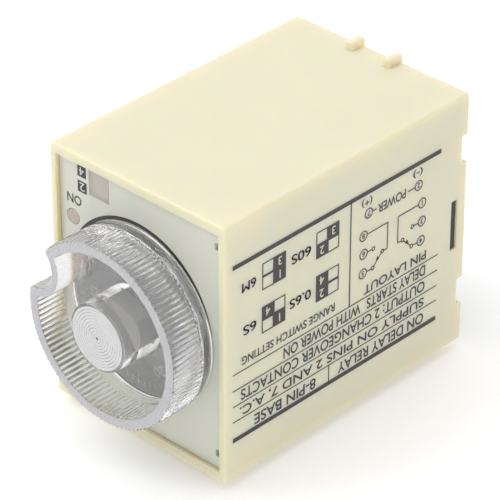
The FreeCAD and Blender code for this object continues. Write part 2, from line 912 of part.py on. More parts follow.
def contact_block():
    closing, resting, _ = blade_spans()
    x = (resting[0] - block_margin, closing[1] + block_margin)
    block = box(x, (foot_back_y, base_front_y), both(block_half_height))
    for span in (closing, resting):
        for side in (-1, 1):
            z = about(side * spring_offset, blade_width)
            block = block.cut(box(span, (foot_back_y, foot_back_y + blade_root), z))
    return block


# Plug base, pins and leads
def pin_place(number):
    """Pin centre as x and z. Numbers run clockwise from the key, seen from the pins' end."""
    turn = math.radians((number - 0.5) * 360 / pin_count)
    return -pin_circle / 2 * math.sin(turn), pin_circle / 2 * math.cos(turn)


def snap_hook(side):
    """A hook with a sloped leading edge, which snaps into a side wall's slot."""
    y = about(-slot_inset, slot_width - 2 * hook_gap)
    root = inside_x - fit_gap
    tip = half_width - hook_recess
    half = slot_height / 2 - hook_gap
    outline = [(root, y[0]), (tip - hook_ramp, y[0]), (tip, y[0] + hook_ramp), (tip, y[1]), (root, y[1])]
    return prism([(side * x, along, -half) for x, along in outline], (0, 0, 2 * half))


def plug_base():
    base = box(both(inside_x - fit_gap), (base_front_y, base_back_y), both(inside_z - fit_gap))
    post = rod_y(0, 0, key_post_radius, (base_back_y, base_back_y + key_post_length))
    post = post.makeChamfer(key_post_chamfer, edges_at_y(post, base_back_y + key_post_length))
    rib = box(both(key_rib_width / 2), (base_back_y, base_back_y + key_post_length - key_rib_short),
              (0, key_post_radius + key_rib_reach))
    pillar_x = (arm_outer_x - pillar_width, arm_outer_x)
    pillar = box(pillar_x, (foot_back_y, base_front_y), both(pillar_half_height))
    base = base.multiFuse([post, rib, pillar, snap_hook(-1), snap_hook(1)])
    for number in range(1, pin_count + 1):
        x, z = pin_place(number)
        base = base.cut(rod_y(x, z, pin_shank_radius + pin_hole_gap, (base_front_y, base_back_y)))
        base = base.cut(rod_y(x, z, pin_radius + pin_hole_gap, (base_back_y - pin_seat, base_back_y)))
    return base.removeSplitter()


def plug_pin(number):
    """A solid pin with a tapered nose. Its shoulder seats in the base and its thinner shank runs through."""
    x, z = pin_place(number)
    shoulder = base_back_y - pin_seat
    nose = base_back_y + pin_length - pin_taper
    pin = rod_y(x, z, pin_radius, (shoulder, nose))
    shank = rod_y(x, z, pin_shank_radius, (base_front_y - pin_inside, shoulder))
    taper = Part.makeCone(pin_radius, pin_tip_radius, pin_taper, V(x, nose, z), V(0, 1, 0))
    return pin.multiFuse([shank, taper]).removeSplitter()


def pin_leads():
    """Wires from the pins' inner ends: contacts go to the contact block, supply pins to the main board."""
    closing, resting, _ = blade_spans()
    block_x = (resting[0] - block_margin, closing[1] + block_margin)
    end_y = base_front_y - pin_inside
    run_y = end_y - lead_rise
    inner_z = block_half_height - lead_bend
    along_z = {1: block_half_height, 4: -block_half_height}
    along_x = {3: block_x[0], 6: block_x[1], 2: main_board_face}
    round_a_corner = {
        8: (inner_z, block_x[1]),
        5: (-inner_z, block_x[1]),
        7: (supply_lead_height, main_board_face),
    }
    wires = []
    for number in range(1, pin_count + 1):
        x, z = pin_place(number)
        route = [V(x, end_y, z), V(x, run_y, z)]
        if number in along_z:
            route.append(V(x, run_y, along_z[number]))
        elif number in along_x:
            route.append(V(along_x[number], run_y, z))
        else:
            corner_z, goal_x = round_a_corner[number]
            route += [V(x, run_y, corner_z), V(goal_x, run_y, corner_z)]
        wires.append(wire_along(route, lead_radius, lead_bend))
    return Part.makeCompound(wires)


# Every piece by its node name
def all_parts():
    parts = {
        "housing": housing(),
        "front_panel": front_panel(),
        "range_window": range_window(),
        "on_lens": on_lens(),
        "scale_plate": scale_plate(),
        "dial_knob": dial_knob(),
        "pot_shaft": pot_shaft(),
        "pot_bush": pot_bush(),
        "pot_can": pot_can(),
        "pot_rotor": pot_rotor(),
        "pot_wiper": pot_wiper(),
        "pot_track": pot_track(),
        "dial_board": dial_board(),
        "board_screws": board_screws(),
        "range_switch_body": range_switch_body(),
        "range_lever_upper": range_lever(1),
        "range_lever_lower": range_lever(-1),
        "on_led": on_led(),
        "main_board": main_board(),
        "board_header": board_header(),
        "timer_ic": timer_ic(),
        "film_capacitor": block_capacitor(film_cap_size, film_cap_place),
        "timing_capacitor": block_capacitor(timing_cap_size, timing_cap_place),
        "smoothing_capacitor": smoothing_capacitor(),
        "rectifier_diodes": axial_row(diode_radius, diode_length, diode_count, diode_pitch, diode_place),
        "resistors": axial_row(resistor_radius, resistor_length, resistor_count, resistor_pitch,
                               resistor_place),
        "driver_transistor": driver_transistor(),
        "relay_yoke": relay_yoke(),
        "relay_core": relay_core(),
        "coil_bobbin": coil_bobbin(),
        "coil_winding": coil_winding(),
        "armature": armature(),
        "contact_carrier": contact_carrier(),
        "moving_springs": moving_springs(),
        "moving_contacts": moving_contacts(),
        "return_spring": return_spring(),
        "no_contacts": no_contacts(),
        "nc_contacts": nc_contacts(),
        "contact_block": contact_block(),
        "plug_base": plug_base(),
        "pin_leads": pin_leads(),
    }
    for number in range(1, pin_count + 1):
        parts[f"pin_{number}"] = plug_pin(number)
    return parts


os.makedirs("parts", exist_ok=True)
for name, shape in all_parts().items():
    shape.exportStep(f"parts/{name}.step")
    print(f"{name}: {len(shape.Solids)} solid(s), {shape.Volume:.2f} mm3, valid {shape.isValid()}")
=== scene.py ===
# %% [markdown]
# # A plug-in timer relay and its clear dial knob
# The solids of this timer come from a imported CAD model, which is the fixed frame of the scene. Blender
# adds what CAD leaves out: the finish of every piece, the print, and the finely moulded knob. Every
# size below is written in millimetres and turned into metres by one factor.

# %% Load the frame
import math

import bmesh
import bpy
import numpy as np
from mathutils import Matrix, Vector


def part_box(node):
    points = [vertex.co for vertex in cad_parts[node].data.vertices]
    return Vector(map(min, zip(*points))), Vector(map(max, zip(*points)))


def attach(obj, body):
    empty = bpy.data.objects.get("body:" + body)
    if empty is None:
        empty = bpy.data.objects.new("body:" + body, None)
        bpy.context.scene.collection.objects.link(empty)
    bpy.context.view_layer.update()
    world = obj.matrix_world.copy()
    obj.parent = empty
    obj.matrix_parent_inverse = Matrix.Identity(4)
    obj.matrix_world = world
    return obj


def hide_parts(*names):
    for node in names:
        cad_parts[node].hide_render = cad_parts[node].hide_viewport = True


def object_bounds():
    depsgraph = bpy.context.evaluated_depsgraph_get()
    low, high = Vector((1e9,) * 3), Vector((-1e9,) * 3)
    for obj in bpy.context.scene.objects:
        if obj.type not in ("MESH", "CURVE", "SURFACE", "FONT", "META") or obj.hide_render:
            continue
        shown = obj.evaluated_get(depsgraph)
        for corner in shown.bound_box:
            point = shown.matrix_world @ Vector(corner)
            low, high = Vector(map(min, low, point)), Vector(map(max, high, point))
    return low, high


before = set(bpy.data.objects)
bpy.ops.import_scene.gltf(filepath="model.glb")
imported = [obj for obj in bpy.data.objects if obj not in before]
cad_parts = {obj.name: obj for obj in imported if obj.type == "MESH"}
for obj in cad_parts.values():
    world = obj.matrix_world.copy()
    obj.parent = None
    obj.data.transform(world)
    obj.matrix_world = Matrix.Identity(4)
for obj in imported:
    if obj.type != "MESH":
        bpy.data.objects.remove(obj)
cad_low, cad_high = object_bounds()
scene = bpy.context.scene
mm = 0.001
cad_size = [round(v / mm, 2) for v in cad_high - cad_low]
print("frame with", len(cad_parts), "solids, size in mm:", cad_size)

# %% [markdown]
# Places are read from the frame where it has them. The print then stays on its surface if a solid
# changes. The dial's axis runs along Y, through the middle of the round scale plate.

# %% Places read from the frame
case_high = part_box("housing")[1]
panel_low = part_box("front_panel")[0]
plate_low, plate_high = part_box("scale_plate")
knob_low, knob_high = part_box("dial_knob")
shaft_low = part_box("pot_shaft")[0]

side_x = case_high.x / mm
panel_y = panel_low.y / mm
scale_y = plate_low.y / mm
dial_x = (plate_low.x + plate_high.x) / 2 / mm
dial_z = (plate_low.z + plate_high.z) / 2 / mm
print("dial axis at x, z:", round(dial_x, 2), round(dial_z, 2))
print("side face at x", round(side_x, 2), "and front panel at y", round(panel_y, 2))

# %% [markdown]
# ## Finishes
# A moulded plastic isn't one flat colour. It has a fine grain from the mould, slow changes of tone and
# a slightly uneven gloss. A painted picture could carry that, but every piece would need a flat layout
# for it. Noise in object coordinates needs none, and its grain keeps its size on each piece. Values
# that are the same all over go straight onto the shader's sockets.

# %% Noise for grain and tone
noise_low, noise_high = 0.3, 0.7


def new_finish(name):
    """An empty finish with its node tree and its surface shader."""
    finish = bpy.data.materials.new(name)
    finish.use_nodes = True
    return finish, finish.node_tree, finish.node_tree.nodes["Principled BSDF"]


def object_noise(tree, size, detail=2.0, stretch=(1, 1, 1)):
    """Noise whose patches are about as wide as a size in millimetres."""
    place = tree.nodes.new("ShaderNodeTexCoord")
    mapping = tree.nodes.new("ShaderNodeMapping")
    mapping.inputs["Scale"].default_value = [1 / (size * mm * s) for s in stretch]
    noise = tree.nodes.new("ShaderNodeTexNoise")
    noise.inputs["Scale"].default_value = 1.0
    noise.inputs["Detail"].default_value = detail
    tree.links.new(place.outputs["Object"], mapping.inputs["Vector"])
    tree.links.new(mapping.outputs["Vector"], noise.inputs["Vector"])
    return noise.outputs["Fac"]


def between(tree, factor, low, high, start=noise_low, stop=noise_high):
    """A factor that runs from start to stop, stretched to run between two other values."""
    spread = tree.nodes.new("ShaderNodeMapRange")
    limits = {"From Min": start, "From Max": stop, "To Min": low, "To Max": high}
    for socket, value in limits.items():
        spread.inputs[socket].default_value = value
    tree.links.new(factor, spread.inputs["Value"])
    return spread.outputs["Result"]


print("noise between", noise_low, "and", noise_high, "is stretched to the range that a finish asks for")


# %% Tints and bumps
def shaded(colour, factor):
    """A colour made darker or lighter, but never more than white."""
    return [min(1.0, channel * factor) for channel in colour]


def tinted(tree, factor, first, second):
    """A colour between two others."""
    mix = tree.nodes.new("ShaderNodeMix")
    mix.data_type = "RGBA"
    mix.inputs["A"].default_value = (*first, 1)
    mix.inputs["B"].default_value = (*second, 1)
    tree.links.new(factor, mix.inputs["Factor"])
    return mix.outputs["Result"]


def drifting(tree, colour, patch, drift):
    """A colour that changes a little from patch to patch, of a size in millimetres."""
    tone = between(tree, object_noise(tree, patch), 0, 1)
    return tinted(tree, tone, shaded(colour, 1 - drift), shaded(colour, 1 + drift))


def add_bump(tree, shader, height, depth):
    """Small hills and hollows of a depth in millimetres."""
    bump = tree.nodes.new("ShaderNodeBump")
    bump.inputs["Distance"].default_value = depth * mm
    tree.links.new(height, bump.inputs["Height"])
    tree.links.new(bump.outputs["Normal"], shader.inputs["Normal"])


print("a mid grey, a tenth lighter:", [round(channel, 2) for channel in shaded((0.5, 0.5, 0.5), 1.1)])

# %% [markdown]
# ### Plastics
# The case is cream plastic that lets a little light spread inside it, which softens its edges and
# shadows. The panel is printed film. Inside are phenolic, nylon, board and the sleeves and coats of
# small parts.

# %% Moulded plastics
tone_patch = 14
gloss_spread = 0.05
glow_reach = (3.6, 2.4, 1.0)


def moulded(name, colour, roughness, grain=0.12, depth=0.004, drift=0.03, glow=0.0):
    """Opaque plastic with a mould's grain, and slow drifts of tone. Some lets light spread inside."""
    finish, tree, shader = new_finish(name)
    shader.inputs["Subsurface Weight"].default_value = glow
    shader.inputs["Subsurface Radius"].default_value = glow_reach
    shader.inputs["Subsurface Scale"].default_value = mm
    tree.links.new(drifting(tree, colour, tone_patch, drift), shader.inputs["Base Color"])
    fine = object_noise(tree, grain)
    gloss = between(tree, fine, roughness - gloss_spread, roughness + gloss_spread)
    tree.links.new(gloss, shader.inputs["Roughness"])
    add_bump(tree, shader, fine, depth)
    return finish


cream = (0.80, 0.735, 0.55)
panel_grey = (0.70, 0.71, 0.61)
finishes = {
    "cream_plastic": moulded("cream_plastic", cream, 0.42, grain=0.10, depth=0.003, drift=0.012, glow=0.8),
    "panel_print": moulded("panel_print", panel_grey, 0.38, grain=0.25, depth=0.002, drift=0.015),
}
plain_plastics = {
    "scale_grey": ((0.44, 0.435, 0.425), 0.45),
    "brown_phenolic": ((0.22, 0.12, 0.06), 0.40),
    "green_board": ((0.05, 0.24, 0.11), 0.35),
    "grey_plastic": ((0.74, 0.73, 0.72), 0.45),
    "white_plastic": ((0.97, 0.97, 0.95), 0.40),
    "black_plastic": ((0.025, 0.025, 0.027), 0.42),
    "film_yellow": ((0.75, 0.52, 0.08), 0.25),
    "dark_sleeve": ((0.04, 0.05, 0.10), 0.25),
    "resistor_tan": ((0.70, 0.55, 0.36), 0.35),
    "natural_nylon": ((0.84, 0.82, 0.74), 0.40),
}
for name, (colour, roughness) in plain_plastics.items():
    finishes[name] = moulded(name, colour, roughness)
print("plastics:", len(finishes))

# %% [markdown]
# ### Metals
# Drawn pins and rolled springs have fine marks along the way they were worked. The same noise makes
# them if it is stretched in that direction. Tone, gloss and bump all follow it, as they follow a real
# scratch.

# %% Metals
mark_size = 0.15
mark_gloss = 0.06
tarnish = 0.92
even = (1, 1, 1)


def metal(name, colour, roughness, stretch, depth=0.002):
    """Metal whose fine marks run along one direction if the noise is stretched."""
    finish, tree, shader = new_finish(name)
    shader.inputs["Metallic"].default_value = 1.0
    marks = object_noise(tree, mark_size, stretch=stretch)
    tone = between(tree, marks, 0, 1)
    tree.links.new(tinted(tree, tone, shaded(colour, tarnish), colour), shader.inputs["Base Color"])
    gloss = between(tree, marks, roughness - mark_gloss, roughness + mark_gloss)
    tree.links.new(gloss, shader.inputs["Roughness"])
    add_bump(tree, shader, marks, depth)
    return finish


metals = {
    "zinc": ((0.66, 0.66, 0.64), 0.38, even),
    "spring_bronze": ((0.72, 0.52, 0.30), 0.30, (1, 12, 1)),
    "bright_steel": ((0.62, 0.62, 0.61), 0.28, even),
    "copper_wire": ((0.70, 0.32, 0.14), 0.32, (6, 1, 6)),
    "silver": ((0.88, 0.87, 0.84), 0.22, even),
    "nickel": ((0.86, 0.84, 0.79), 0.42, (1, 10, 1)),
    "tinned_wire": ((0.72, 0.71, 0.68), 0.30, even),
}
for name, (colour, roughness, stretch) in metals.items():
    finishes[name] = metal(name, colour, roughness, stretch)
print("metals:", len(metals))

# %% [markdown]
# ### See-through finishes
# The window is a smoky film, the lamp's lens is milky and the knob is clear. All three let light
# through, so they use the shader's transmission. The knob is frosted on its rim and its rings, and a
# little on its ribs and its hub, and an attribute on its mesh says where. A second attribute marks
# where the moulding touches another piece without a gap of air, so that light passes there without
# being bent: the greased bore on the shaft, and the frosted side of the bite.

# %% Smoky and milky plastics
haze_patch = 0.2
haze_spread = 0.2


def see_through(name, colour, roughness, index, share=1.0, patch=2.5, drift=0.03):
    """A plastic that a share of the light passes. The rest is spread as by milk."""
    finish, tree, shader = new_finish(name)
    tree.links.new(drifting(tree, colour, patch, drift), shader.inputs["Base Color"])
    shader.inputs["Transmission Weight"].default_value = share
    shader.inputs["IOR"].default_value = index
    fine = object_noise(tree, haze_patch)
    haze = between(tree, fine, (1 - haze_spread) * roughness, (1 + haze_spread) * roughness)
    tree.links.new(haze, shader.inputs["Roughness"])
    return finish


smoke = (0.98, 0.93, 0.86)
finishes["smoky_window"] = see_through("smoky_window", smoke, 0.02, 1.3, share=0.55, patch=1.6, drift=0.01)
finishes["lamp_lens"] = see_through("lamp_lens", (0.71, 0.585, 0.495), 0.3, 1.45, share=0.25)
finishes["red_lamp"] = see_through("red_lamp", (0.75, 0.05, 0.04), 0.08, 1.5)
print("finishes so far:", len(finishes))

# %% Clear plastic of the knob
clear_tint = (0.985, 0.985, 0.99, 1)
clear_share = 0.95
clear_index = 1.49
matched_index = 1.0
polished, frosty = 0.02, 0.5
speckle_size = 0.22
speckle_low = 0.6


def mesh_mark(tree, name):
    """The value of an attribute that the mesh carries on its points."""
    mark = tree.nodes.new("ShaderNodeAttribute")
    mark.attribute_name = name
    return mark.outputs["Fac"]


def clear_knob_finish():
    """Clear plastic that reads from its mesh where it is frosted and where it touches another piece."""
    finish, tree, shader = new_finish("clear_plastic")
    shader.inputs["Base Color"].default_value = clear_tint
    shader.inputs["Transmission Weight"].default_value = clear_share
    shader.inputs["IOR"].default_value = clear_index
    index = between(tree, mesh_mark(tree, "matched"), clear_index, matched_index, 0, 1)
    tree.links.new(index, shader.inputs["IOR"])
    speckle = object_noise(tree, speckle_size, detail=3)
    amount = tree.nodes.new("ShaderNodeMath")
    amount.operation = "MULTIPLY"
    tree.links.new(mesh_mark(tree, "frost"), amount.inputs[0])
    tree.links.new(between(tree, speckle, speckle_low, 1.0), amount.inputs[1])
    rough = between(tree, amount.outputs["Value"], polished, frosty, 0, 1)
    tree.links.new(rough, shader.inputs["Roughness"])
    return finish


finishes["clear_plastic"] = clear_knob_finish()
print("all finishes:", len(finishes))

# %% [markdown]
# ### Dressing the solids
# Each solid came with a plain stand-in finish that has the name of its slot in the record. The better
# finish of the same name takes its place, and the mesh itself stays as it is.

# %% Dress the solids
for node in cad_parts.values():
    for index, plain in enumerate(node.data.materials):
        node.data.materials[index] = finishes[plain.name.split(".")[0]]
print("dressed", len(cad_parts), "solids")

# %% [markdown]
# ## The knob
# The knob is one clear moulding: a ribbed drum, a hollow cup, a hub on the shaft and a round bite in
# the rim for a fingertip. It could be cut from solids, but cuts leave ragged edges that show in clear
# plastic. Here every outline is a distance from the axis at each angle. A stack of such outlines, from
# the middle of the hub's face round to the shaft's bore, is stitched into one closed skin.

# %% Sizes of the knob
rib_count = 110
rib_tip = (knob_high.x - knob_low.x) / 2 / mm
rib_depth = 0.3
rib_depth_front = 0.24
rib_sharpness = 3
skirt_radius = rib_tip - 0.1
lip_radius = rib_tip - 1.5
cup_radius_front = 14.9
cup_radius_back = 14.6
hub_radius = 6.28
hub_front = knob_low.y / mm
rim_front = hub_front + 0.8
skirt_back = knob_high.y / mm
rib_end = skirt_back - 2.2
floor_back = scale_y - 0.32
floor_front = floor_back - 1.0
print("knob radius", round(rib_tip, 2), "mm, from y", round(hub_front, 2), "to", round(skirt_back, 2))

# %% [markdown]
# The bite is a piece of a circle whose centre lies just outside the drum. From the axis, its outline is
# the near side of that circle. A mould leaves no knife edges, so each corner between the bite and the
# drum is rounded by a small circle that touches both.

# %% The bite in the rim
steps_per_rib = 12
pointer_angle = math.radians(155.5)
bite_radius = 4.77
bite_reach = 17.7
bite_wall = 1.5
bite_round = 0.9
turn = np.linspace(0, 2 * np.pi, rib_count * steps_per_rib, endpoint=False)
off_pointer = (turn - pointer_angle + np.pi) % (2 * np.pi) - np.pi


def bite_side(radius):
    """Distance from the axis to the near side of a circle about the bite's centre, endless beside it."""
    room = radius ** 2 - (bite_reach * np.sin(off_pointer)) ** 2
    near = bite_reach * np.cos(off_pointer) - np.sqrt(np.clip(room, 0, None))
    return np.where((room > 0) & (np.cos(off_pointer) > 0), near, np.inf)


corner_reach = rib_tip - bite_round
corner_span = corner_reach ** 2 + bite_reach ** 2 - (bite_radius + bite_round) ** 2
corner_angle = math.acos(corner_span / (2 * corner_reach * bite_reach))
corner_side = corner_reach * math.sin(corner_angle)
bite_touch = math.atan2(corner_side, corner_reach * math.cos(corner_angle) - bite_reach)
touch_side = bite_radius * math.sin(bite_touch)
bite_start = math.atan2(touch_side, bite_reach + bite_radius * math.cos(bite_touch))
print("the bite's rounded corners start", round(math.degrees(bite_start), 1), "degrees off the pointer")


# %% Outlines of the drum and the cup
def drum(depth):
    """The ribbed outside of the drum with the bite taken out of it and the bite's corners rounded."""
    phase = (turn / (2 * np.pi) * rib_count) % 1
    crest = (0.5 + 0.5 * np.cos(2 * np.pi * phase)) ** rib_sharpness
    outline = rib_tip - depth + depth * crest
    off = np.abs(off_pointer)
    room = np.clip(bite_round ** 2 - (corner_reach * np.sin(off - corner_angle)) ** 2, 0, None)
    rounding = corner_reach * np.cos(off - corner_angle) + np.sqrt(room)
    outline = np.where(off < corner_angle, np.minimum(outline, rounding), outline)
    return np.where(off < bite_start, np.minimum(outline, bite_side(bite_radius)), outline)


outside_front = drum(rib_depth_front)
outside = drum(rib_depth)
cup_side = bite_side(bite_radius + bite_wall)
cup_front = np.minimum(cup_radius_front, cup_side)
cup_back = np.minimum(cup_radius_back, cup_side)
in_bite = bite_side(bite_radius) < rib_tip - rib_depth
wall_foot = np.where(in_bite, floor_front, rib_end)
print("bite spans", round(360 * in_bite.mean(), 1), "degrees of the rim")

# %% [markdown]
# The stack starts in the middle of the hub's face, whose rings are waves in its height. Each level has
# two marks for the finish: how frosted it is, and whether it touches another piece. The hub's face and
# the bore have no ribs, so their levels keep only every sixth point.

# %% Levels of the hub
coarse_steps = 6
ring_count = 11
ring_depth = 0.13
ring_steps = 6
edge_round = 0.2
hub_collar = 1.0
full_frost, half_frost, light_frost = 1.0, 0.5, 0.1


def level(radius, y, frost=0.0, matched=0.0, coarse=False):
    """One outline: for each angle a distance from the axis, a place along it and two marks."""
    every = coarse_steps if coarse else 1
    return [np.broadcast_to(value, turn.shape)[::every] for value in (radius, y, frost, matched, turn)]


hub_face = hub_radius - edge_round
ring_places = np.linspace(0, hub_face, ring_count * ring_steps + 1)[1:]
ring_wave = ring_depth * (1 - np.cos(2 * np.pi * ring_count * ring_places / hub_face)) / 2
hub_foot = ((0.05, 0.3, light_frost), (0.12, 0.1, 0.0), (0.3, 0.0, 0.0))
levels = [level(r, hub_front + wave, half_frost, coarse=True) for r, wave in zip(ring_places, ring_wave)]
levels += [
    level(hub_radius, hub_front + edge_round, light_frost, coarse=True),
    level(hub_radius, hub_front + hub_collar, light_frost),
]
levels += [level(hub_radius + out, floor_front - up, frost) for out, up, frost in hub_foot]
print("levels as far as the hub's foot:", len(levels))

# %% Levels of the cup and the rim
edge_in, edge_down = 0.06, 0.05
cup_foot = ((0.4, 0.0), (0.12, 0.1), (0.0, 0.35))
cup_mouth = ((0.0, 0.15, 0.0), (0.04, 0.04, 0.0), (0.12, 0.0, full_frost))
levels += [level(cup_back - inward, floor_front - up) for inward, up in cup_foot]
levels += [level(cup_front + out, rim_front + down, frost) for out, down, frost in cup_mouth]
levels += [
    level((cup_front + outside_front) / 2, rim_front, full_frost),
    level(outside_front - edge_round, rim_front, full_frost),
    level(outside_front - edge_in, rim_front + edge_down, half_frost),
]
print("levels as far as the rim:", len(levels))

# %% Levels of the ribs and the skirt
foot_round = 0.1
arc_share = 0.98
in_arc = np.abs(off_pointer) < arc_share * bite_start
levels += [
    level(outside_front, rim_front + edge_round, light_frost, in_arc),
    level(outside, wall_foot - foot_round, light_frost, in_arc),
    level(np.where(in_bite, outside + foot_round, skirt_radius), wall_foot),
    level(skirt_radius, wall_foot + foot_round),
    level(skirt_radius, skirt_back - edge_round),
    level(skirt_radius - edge_in, skirt_back - edge_down),
    level(skirt_radius - edge_round, skirt_back),
    level(lip_radius, skirt_back),
    level(lip_radius, floor_back),
]
print("levels as far as the underside:", len(levels))

# %% Levels of the bore
bore_radius = 3.02
bore_flat = 1.52
bore_margin = 1.0
bore_cap = 0.9
bore_end = shaft_low.y / mm - 0.1
past_flat = np.sin(turn) * bore_radius > bore_flat
bore = np.where(past_flat, bore_flat / np.maximum(np.sin(turn), 1e-6), bore_radius)
levels += [
    level(bore_radius + bore_margin, floor_back),
    level(bore, floor_back, matched=1.0, coarse=True),
    level(bore, bore_end, matched=1.0, coarse=True),
    level(bore * bore_cap, bore_end, matched=1.0, coarse=True),
]
print("levels in the whole stack:", len(levels))

# %% [markdown]
# Neighbouring levels are joined by a strip of faces. Where a coarse level meets a fine one, a face has
# one side on the coarse level and several short ones on the fine. The first and the last level each
# close to a point.


# %% Stitch the stack into one closed skin
def stretch_of(start, count, parts, part):
    """The points of one part of a level, up to the first point of the next part."""
    share = count // parts
    return [start + (part * share + k) % count for k in range(share + 1)]


def stitched(name, stack, first_y, last_y):
    """A closed mesh from levels about the dial's axis, with the levels' marks as attributes."""
    points = [(dial_x, first_y, dial_z)]
    marks = [(stack[0][2][0], stack[0][3][0])]
    starts = []
    for radius, y, frost, matched, angles in stack:
        starts.append(len(points))
        ring = [dial_x + radius * np.cos(angles), y, dial_z + radius * np.sin(angles)]
        points += np.stack(ring, axis=1).tolist()
        marks += zip(frost, matched)
    end = len(points)
    points.append((dial_x, last_y, dial_z))
    marks.append((stack[-1][2][0], stack[-1][3][0]))
    counts = [len(outline[4]) for outline in stack]
    faces = [(0, starts[0] + (i + 1) % counts[0], starts[0] + i) for i in range(counts[0])]
    for start, count, after, after_count in zip(starts, counts, starts[1:], counts[1:]):
        few = min(count, after_count)
        for i in range(few):
            there = stretch_of(after, after_count, few, i)
            faces.append(stretch_of(start, count, few, i) + there[::-1])
    faces += [(end, starts[-1] + i, starts[-1] + (i + 1) % counts[-1]) for i in range(counts[-1])]
    mesh = bpy.data.meshes.new(name)
    mesh.from_pydata([Vector(p) * mm for p in points], [], faces)
    for mark, values in zip(("frost", "matched"), np.array(marks, dtype=float).T):
        mesh.attributes.new(mark, "FLOAT", "POINT").data.foreach_set("value", values)
    return mesh


knob_mesh = stitched("clear_knob", levels, hub_front, bore_end)
print("knob faces:", len(knob_mesh.polygons))

# %% [markdown]
# The skin's faces are turned to look outwards, since light has to know which side of them is plastic.
# Edges sharper than a limit stay sharp, so that the ribs and the rim keep their lines while the hub
# looks round.

# %% Finish the clear knob
sharp_angle = math.radians(28)


def place_object(name, mesh, finish):
    """A mesh as an object of the scene, with its finish."""
    mesh.materials.clear()
    mesh.materials.append(finish)
    made = bpy.data.objects.new(name, mesh)
    scene.collection.objects.link(made)
    return made


def face_outwards(mesh):
    """Turns every face of a closed mesh to look outwards."""
    shape = bmesh.new()
    shape.from_mesh(mesh)
    bmesh.ops.recalc_face_normals(shape, faces=shape.faces)
    shape.to_mesh(mesh)
    shape.free()


face_outwards(knob_mesh)
knob_mesh.shade_smooth()
knob_mesh.set_sharp_from_angle(angle=sharp_angle)
clear_knob = place_object("clear_knob", knob_mesh, finishes["clear_plastic"])
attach(clear_knob, "dial")
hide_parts("dial_knob")
print("knob points:", len(knob_mesh.vertices))

# %% [markdown]
# ### Frosted faces
# The front of the rim has a fine grain from the mould, like frosted glass, and so have the bite and the
# crests of the rings on the hub. The clear finish could be rougher there, but a surface that scatters
# light also needs another balance of clear and milky than the walls. So these faces are thin layers of
# their own, just off the clear moulding.

# %% Helpers for thin layers
frost_layer = 0.02
frost_gap = 0.004
# The corners of a layer's section in order: which of its two edges, and which of its two depths
section = ((0, 0), (1, 0), (1, 1), (0, 1))


def dial_loop(outline, y, angles):
    """Points about the dial's axis."""
    return [(dial_x + r * math.cos(a), y, dial_z + r * math.sin(a)) for r, a in zip(outline, angles)]


def add_layer(shape, loops, closed=True):
    """A thin band from four loops of points, each joined to the next. An open band gets two ends."""
    rings = [[shape.verts.new(Vector(p) * mm) for p in loop] for loop in loops]
    count = len(rings[0])
    for here, there in zip(rings, rings[1:] + rings[:1]):
        for i in range(count if closed else count - 1):
            j = (i + 1) % count
            shape.faces.new((here[i], here[j], there[j], there[i]))
    if not closed:
        for i in (0, count - 1):
            shape.faces.new([ring[i] for ring in rings])


def frosted(name, shape, finish):
    """Makes a layer of the knob that scatters light."""
    mesh = bpy.data.meshes.new(name)
    bmesh.ops.recalc_face_normals(shape, faces=shape.faces)
    shape.to_mesh(mesh)
    shape.free()
    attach(place_object(name, mesh, finish), "dial")
    print(name, "has", len(mesh.polygons), "faces")


print("frosted layers are", frost_layer, "mm thick and", frost_gap, "mm off the knob")

# %% Frosted rim
rim_tint = (0.74, 0.735, 0.76)
rim_finish = see_through("frosted_rim", rim_tint, 0.5, clear_index, share=0.38, patch=0.3, drift=0.12)
rim_margin, mouth_margin = 0.08, 0.1
edges = outside_front - rim_margin, cup_front + mouth_margin
depths = rim_front - frost_gap - frost_layer, rim_front - frost_gap
shape = bmesh.new()
add_layer(shape, [dial_loop(edges[i], depths[j], turn) for i, j in section])
frosted("frosted_rim", shape, rim_finish)

# %% Frosted bite
bite_tint = (0.97, 0.965, 0.96)
bite_index = 1.1
bite_steps = 41
bite_finish = see_through("frosted_bite", bite_tint, 0.3, bite_index, share=0.85, patch=0.5, drift=0.02)
bite_arc = pointer_angle + math.pi + np.linspace(-1, 1, bite_steps) * (math.pi - bite_touch)
bite_x = dial_x + bite_reach * math.cos(pointer_angle)
bite_z = dial_z + bite_reach * math.sin(pointer_angle)


def bite_loop(radius, y):
    """Points on a circle about the bite's centre, as far as the bite's corners."""
    return [(bite_x + radius * math.cos(a), y, bite_z + radius * math.sin(a)) for a in bite_arc]


sides = bite_radius - frost_gap, bite_radius - frost_gap - frost_layer
front_margin, foot_margin = 0.25, 0.15
ends = rim_front + front_margin, floor_front - foot_margin
shape = bmesh.new()
add_layer(shape, [bite_loop(sides[i], ends[j]) for i, j in section], closed=False)
frosted("frosted_bite", shape, bite_finish)

# %% Frosted rings on the hub
ring_tint = (0.96, 0.96, 0.965)
ring_finish = see_through("frosted_rings", ring_tint, 0.4, clear_index, share=0.4, patch=0.3, drift=0.03)
ring_pitch = hub_face / ring_count
ring_share = 0.86
few_turns = turn[::coarse_steps]
depths = hub_front - frost_gap - frost_layer, hub_front - frost_gap
shape = bmesh.new()
for ring in range(1, ring_count):
    radii = [ring_pitch * (ring + side * ring_share / 2) for side in (1, -1)]
    edges = [np.full(few_turns.shape, radius) for radius in radii]
    add_layer(shape, [dial_loop(edges[i], depths[j], few_turns) for i, j in section])
frosted("frosted_rings", shape, ring_finish)

# %% [markdown]
# ## Print
# Ink is a layer a few hundredths of a millimetre thick. It could be a pattern in the finish of the
# surface, but lettering has sharp edges that a mesh gives best. Each mark is an outline in the reading
# frame of its surface, in millimetres, raised by the ink's thickness. The timer lies upside down, so
# the reading frames are turned by half a turn.

# %% Inks
ink_rise = 0.025
ink_bed = 0.01


def ink(name, colour, roughness=0.45):
    """Print has a finer bump than plastic, and its tone is less even."""
    return moulded(name, colour, roughness, grain=0.2, depth=0.001, drift=0.05)


